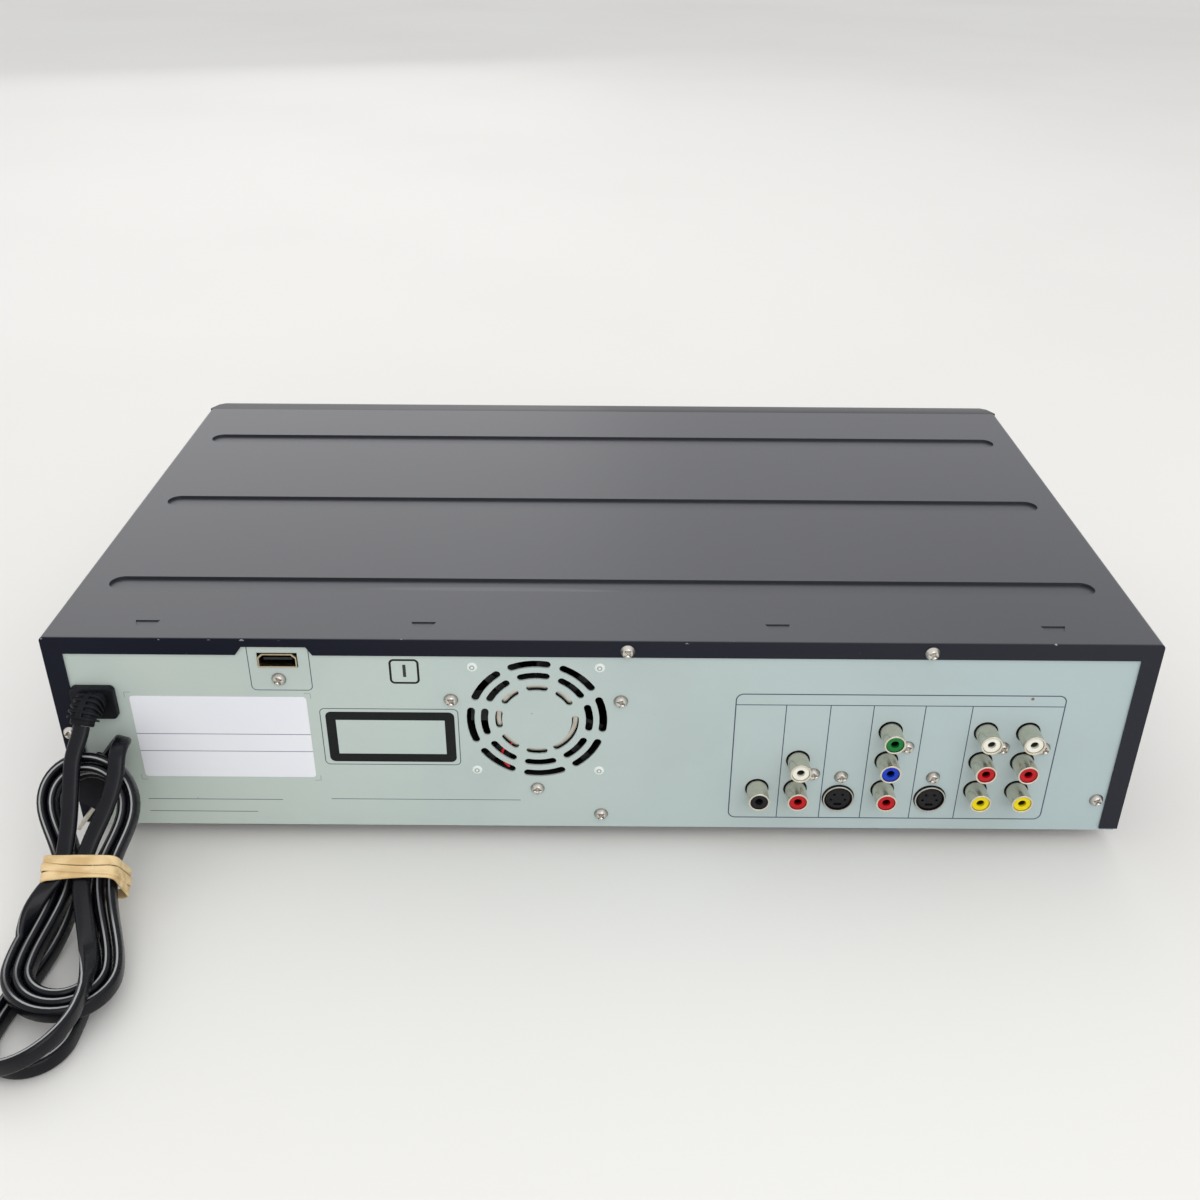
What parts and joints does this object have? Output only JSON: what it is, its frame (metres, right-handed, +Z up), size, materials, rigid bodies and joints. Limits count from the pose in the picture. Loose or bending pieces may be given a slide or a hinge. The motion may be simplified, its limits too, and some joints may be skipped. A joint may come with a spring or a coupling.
{
  "type": "dvd vcr combo player",
  "caption": "Disc and tape deck in one black steel case with a sliding tray, a cassette door, a rear fan, rear sockets and a tied mains cord.",
  "frame": {"origin": "centre of the case's footprint on the floor, without the mains cord", "axes": "+X to the viewer's right seen from the front, +Y towards the rear panel, +Z up"},
  "size_m": [0.4452, 0.3919, 0.0995],
  "materials": {
    "chassis_steel": "zinc-plated sheet",
    "cover_paint": "black paint, fine texture",
    "panel_paint": "pale grey-green paint",
    "front_plastic": "black",
    "window": "smoked",
    "foot": "black",
    "nickel": "nickel plate",
    "steel": "plated sheet",
    "black_plastic": "black",
    "fan_plastic": "dark grey",
    "jack_white": "white",
    "jack_red": "red",
    "jack_yellow": "yellow",
    "jack_green": "green",
    "jack_blue": "blue",
    "board_green": "green laminate",
    "board_tan": "tan laminate",
    "transformer": "yellow tape",
    "aluminium": "extruded",
    "white_plastic": "natural white",
    "cord": "black vinyl",
    "band": "tan"
  },
  "bodies": {
    "case": {"bottom_chassis": "chassis_steel", "top_cover": "cover_paint", "rear_panel": "panel_paint", "front_bezel": "front_plastic", "display_window": "window", "feet": "foot", "cover_screws": "nickel", "panel_screws": "nickel", "fan_bracket": "steel", "fan_frame": "fan_plastic", "hdmi_socket": "nickel", "jack_barrels": "nickel", "jack_blocks": "black_plastic", "jack_inserts_white": "jack_white", "jack_inserts_red": "jack_red", "jack_inserts_yellow": "jack_yellow", "jack_insert_green": "jack_green", "jack_insert_blue": "jack_blue", "svideo_sockets": "black_plastic", "main_board": "board_green", "power_board": "board_tan", "transformer": "transformer", "heat_sink": "aluminium", "front_board": "board_green", "front_jacks": "black_plastic", "deck_chassis": "steel", "lower_drum": "aluminium", "tape_guides": "steel", "drive_base": "black_plastic", "clamp_bridge": "steel", "cord_gland": "black_plastic", "cord_lead": "cord", "cord_hank": "cord", "cord_tie": "band", "mains_plug": "black_plastic"},
    "fan_rotor": {"fan_rotor": "fan_plastic"},
    "head_drum": {"head_drum": "aluminium"},
    "capstan": {"capstan": "steel"},
    "supply_reel": {"supply_reel": "white_plastic"},
    "takeup_reel": {"takeup_reel": "white_plastic"},
    "pinch_arm": {"pinch_arm": "black_plastic"},
    "carriage": {"holder_carriage": "steel"},
    "holder": {"cassette_holder": "steel"},
    "cassette_door": {"cassette_door": "front_plastic"},
    "tray": {"disc_tray": "black_plastic", "tray_fascia": "front_plastic"},
    "tray_gear": {"tray_gear": "white_plastic"},
    "clamper": {"disc_clamper": "white_plastic"},
    "traverse": {"traverse_frame": "black_plastic"},
    "turntable": {"disc_turntable": "black_plastic"},
    "pickup": {"optical_pickup": "black_plastic"},
    "lead_screw": {"lead_screw": "steel"},
    "power_button": {"power_button": "front_plastic"},
    "stop_eject_button": {"stop_eject_button": "front_plastic"},
    "rewind_button": {"rewind_button": "front_plastic"},
    "play_button": {"play_button": "front_plastic"},
    "forward_button": {"forward_button": "front_plastic"},
    "disc_open_button": {"disc_open_button": "front_plastic"},
    "disc_play_button": {"disc_play_button": "front_plastic"},
    "disc_stop_button": {"disc_stop_button": "front_plastic"}
  },
  "joints": [
    {"name": "fan_turn", "type": "hinge", "parent": "case", "child": "fan_rotor", "pos_m": [0.0258, 0.11728, 0.0618], "axis": [0, 1, 0], "continuous": true},
    {"name": "head_drum_turn", "type": "hinge", "parent": "case", "child": "head_drum", "pos_m": [-0.1035, 0.05523, 0.048], "axis": [0, 0.1045, 0.9945], "continuous": true},
    {"name": "capstan_turn", "type": "hinge", "parent": "case", "child": "capstan", "pos_m": [-0.0455, 0.03222, 0.034], "axis": [0, 0, 1], "continuous": true},
    {"name": "supply_reel_turn", "type": "hinge", "parent": "case", "child": "supply_reel", "pos_m": [-0.1495, -0.02977, 0.035], "axis": [0, 0, 1], "continuous": true},
    {"name": "takeup_reel_turn", "type": "hinge", "parent": "case", "child": "takeup_reel", "pos_m": [-0.0575, -0.02977, 0.035], "axis": [0, 0, 1], "continuous": true},
    {"name": "pinch_arm_swing", "type": "hinge", "parent": "case", "child": "pinch_arm", "pos_m": [-0.0195, 0.04022, 0.055], "axis": [0, 0, 1], "range_deg": [0, 18], "stiffness_Nm_per_rad": 0.005, "springref_deg": -11.46},
    {"name": "carriage_slide", "type": "slide", "parent": "case", "child": "carriage", "axis": [0, 1, 0], "range_m": [0, 0.04]},
    {"name": "holder_drop", "type": "slide", "parent": "carriage", "child": "holder", "axis": [0, 0, -1], "range_m": [0, 0.023]},
    {"name": "cassette_door_swing", "type": "hinge", "parent": "case", "child": "cassette_door", "pos_m": [-0.1035, -0.13157, 0.0865], "axis": [1, 0, 0], "range_deg": [0, 80], "stiffness_Nm_per_rad": 0.004, "springref_deg": -22.92},
    {"name": "tray_slide", "type": "slide", "parent": "case", "child": "tray", "axis": [0, -1, 0], "range_m": [0, 0.136]},
    {"name": "tray_gear_turn", "type": "hinge", "parent": "case", "child": "tray_gear", "pos_m": [0.0635, -0.08878, 0.065], "axis": [0, 0, 1], "range_deg": [0, 652]},
    {"name": "clamper_turn", "type": "hinge", "parent": "case", "child": "clamper", "pos_m": [0.1135, -0.06078, 0.084], "axis": [0, 0, 1], "continuous": true},
    {"name": "traverse_tilt", "type": "hinge", "parent": "case", "child": "traverse", "pos_m": [0.1135, 0.02123, 0.06], "axis": [1, 0, 0], "range_deg": [0, 3.6]},
    {"name": "turntable_turn", "type": "hinge", "parent": "traverse", "child": "turntable", "pos_m": [0.1135, -0.06078, 0.07], "axis": [0, 0, 1], "continuous": true},
    {"name": "pickup_slide", "type": "slide", "parent": "traverse", "child": "pickup", "axis": [0, 1, 0], "range_m": [0, 0.034]},
    {"name": "lead_screw_turn", "type": "hinge", "parent": "traverse", "child": "lead_screw", "pos_m": [0.1425, -0.02077, 0.065], "axis": [0, 1, 0], "range_deg": [0, 4090]},
    {"name": "power_press", "type": "slide", "parent": "case", "child": "power_button", "axis": [0, 1, 0], "range_m": [0, 0.001], "stiffness_N_per_m": 400, "springref_m": -0.001},
    {"name": "stop_eject_press", "type": "slide", "parent": "case", "child": "stop_eject_button", "axis": [0, 1, 0], "range_m": [0, 0.001], "stiffness_N_per_m": 400, "springref_m": -0.001},
    {"name": "rewind_press", "type": "slide", "parent": "case", "child": "rewind_button", "axis": [0, 1, 0], "range_m": [0, 0.001], "stiffness_N_per_m": 400, "springref_m": -0.001},
    {"name": "play_press", "type": "slide", "parent": "case", "child": "play_button", "axis": [0, 1, 0], "range_m": [0, 0.001], "stiffness_N_per_m": 400, "springref_m": -0.001},
    {"name": "forward_press", "type": "slide", "parent": "case", "child": "forward_button", "axis": [0, 1, 0], "range_m": [0, 0.001], "stiffness_N_per_m": 400, "springref_m": -0.001},
    {"name": "disc_open_press", "type": "slide", "parent": "case", "child": "disc_open_button", "axis": [0, 1, 0], "range_m": [0, 0.001], "stiffness_N_per_m": 400, "springref_m": -0.001},
    {"name": "disc_play_press", "type": "slide", "parent": "case", "child": "disc_play_button", "axis": [0, 1, 0], "range_m": [0, 0.001], "stiffness_N_per_m": 400, "springref_m": -0.001},
    {"name": "disc_stop_press", "type": "slide", "parent": "case", "child": "disc_stop_button", "axis": [0, 1, 0], "range_m": [0, 0.001], "stiffness_N_per_m": 400, "springref_m": -0.001}
  ],
  "couplings": [
    {"joint": "tray_gear_turn", "follows": "tray_slide", "rad_per_m": 83.333},
    {"joint": "traverse_tilt", "follows": "tray_slide", "rad_per_m": 0.44917},
    {"joint": "lead_screw_turn", "follows": "pickup_slide", "rad_per_m": 2094.4}
  ]
}
